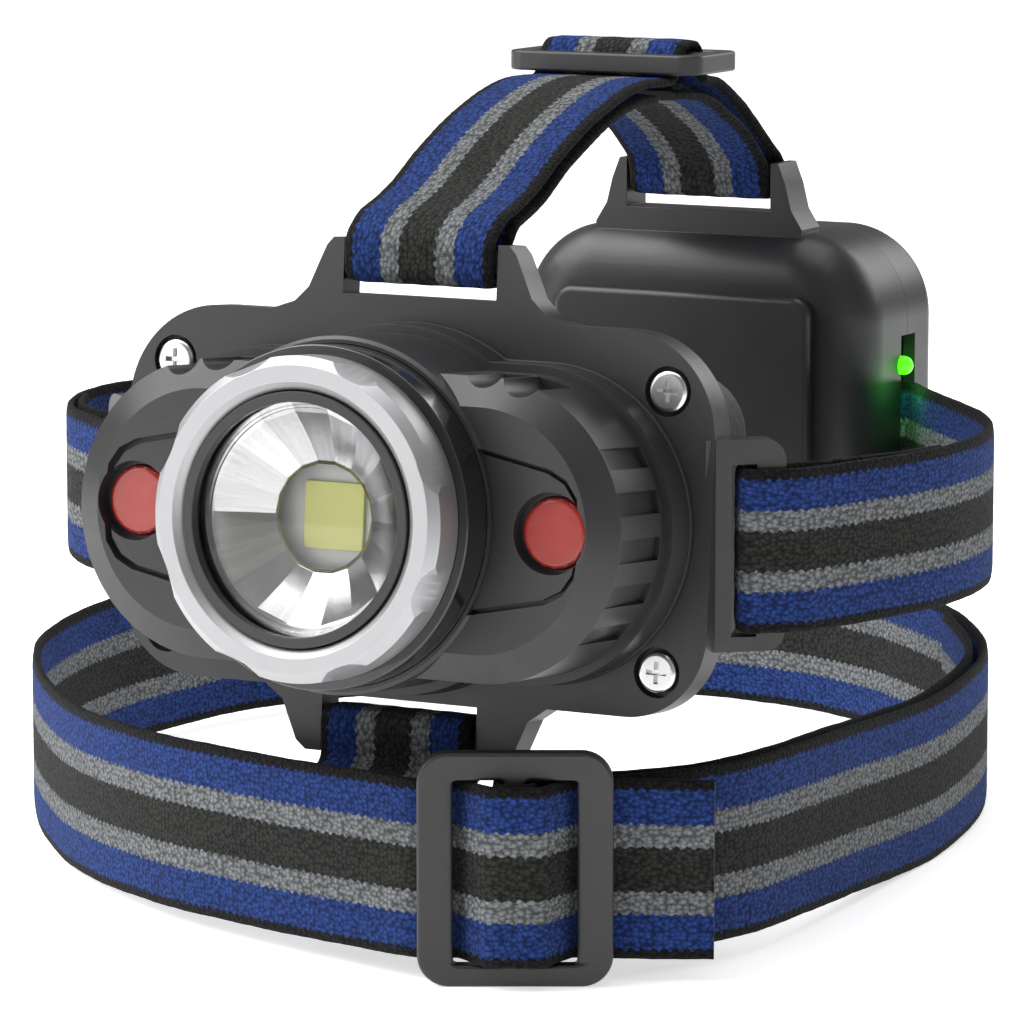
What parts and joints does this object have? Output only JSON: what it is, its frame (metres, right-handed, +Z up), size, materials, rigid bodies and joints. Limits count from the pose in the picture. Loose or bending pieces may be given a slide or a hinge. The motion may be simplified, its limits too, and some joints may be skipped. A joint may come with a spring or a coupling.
{
  "type": "headlamp",
  "caption": "Zoom headlamp with two push buttons on a lamp plate, rear rechargeable battery box, head and top straps, and a buckled lower band.",
  "frame": {"origin": "centre of the footprint, on the surface that the headlamp stands on", "axes": "+Z up; the lamp shines towards -Y; +X to the right of someone facing the lamp"},
  "size_m": [0.185, 0.2266, 0.1275],
  "materials": {
    "plastic_dark": "moulded dark grey, satin",
    "plastic_gloss": "polished black barrel",
    "aluminium_satin": "satin machined",
    "screw_steel": "plated",
    "webbing": "striped knitted elastic, blue, grey and black",
    "lens_clear": "polished clear",
    "reflector_chrome": "metallised facets",
    "button_red": "translucent red",
    "phosphor_yellow": "yellow phosphor",
    "ceramic_white": "white ceramic",
    "circuit_green": "solder mask",
    "rubber_black": "matt",
    "foam_dark": "closed-cell foam",
    "cell_wrap": "shrink sleeve",
    "led_green": "lit indicator",
    "contact_metal": "plated contact"
  },
  "bodies": {
    "headlamp": {"front_plate": "plastic_dark", "plate_screws": "screw_steel", "housing_gasket": "rubber_black", "lamp_housing": "plastic_dark", "left_switch": "rubber_black", "right_switch": "rubber_black", "switch_boards": "circuit_green", "lamp_back_cover": "plastic_dark", "lamp_lead_grommet": "rubber_black", "forehead_pad": "foam_dark", "led_board": "circuit_green", "led_emitter": "ceramic_white", "led_phosphor": "phosphor_yellow", "heatsink": "aluminium_satin", "driver_board": "circuit_green", "box_inner_shell": "plastic_dark", "box_outer_shell": "plastic_dark", "box_seal": "rubber_black", "box_screws": "screw_steel", "rear_head_pad": "plastic_dark", "battery_cell_1": "cell_wrap", "battery_cell_2": "cell_wrap", "cell_holder": "plastic_dark", "contact_plates": "contact_metal", "contact_springs": "contact_metal", "charge_board": "circuit_green", "usb_socket": "screw_steel", "flap_pin": "screw_steel", "status_led": "led_green", "box_lead_grommet": "rubber_black", "head_band_right": "webbing", "head_band_left": "webbing", "strap_pins": "screw_steel", "top_strap": "webbing", "top_slider": "plastic_dark", "hanger_strap": "webbing", "lower_band": "webbing", "lower_slider": "plastic_dark"},
    "focus_sleeve": {"focus_sleeve": "plastic_gloss", "sleeve_seal": "rubber_black", "lens_retainer": "plastic_gloss", "lens_seal": "rubber_black", "front_lens": "lens_clear", "reflector": "reflector_chrome"},
    "bezel": {"bezel_ring": "aluminium_satin"},
    "left_button": {"left_button": "button_red"},
    "right_button": {"right_button": "button_red"},
    "port_flap": {"port_flap": "rubber_black"}
  },
  "joints": [
    {"name": "focus_slide", "type": "slide", "parent": "headlamp", "child": "focus_sleeve", "axis": [0, -0.9966, 0.0825], "range_m": [0, 0.004]},
    {"name": "bezel_turn", "type": "hinge", "parent": "focus_sleeve", "child": "bezel", "pos_m": [0.02414, -0.10827, 0.06591], "axis": [0, -0.9966, 0.0825], "range_deg": [0, 120]},
    {"name": "left_button_press", "type": "slide", "parent": "headlamp", "child": "left_button", "axis": [0, 0.9966, -0.0825], "range_m": [0, 0.001], "stiffness_N_per_m": 900, "springref_m": -0.001},
    {"name": "right_button_press", "type": "slide", "parent": "headlamp", "child": "right_button", "axis": [0, 0.9966, -0.0825], "range_m": [0, 0.001], "stiffness_N_per_m": 900, "springref_m": -0.001},
    {"name": "port_flap_hinge", "type": "hinge", "parent": "headlamp", "child": "port_flap", "pos_m": [0.02414, 0.03977, 0.0309], "axis": [1, 0, 0], "range_deg": [0, 110]}
  ],
  "couplings": [
    {"joint": "focus_slide", "follows": "bezel_turn", "m_per_rad": 0.0019098}
  ]
}
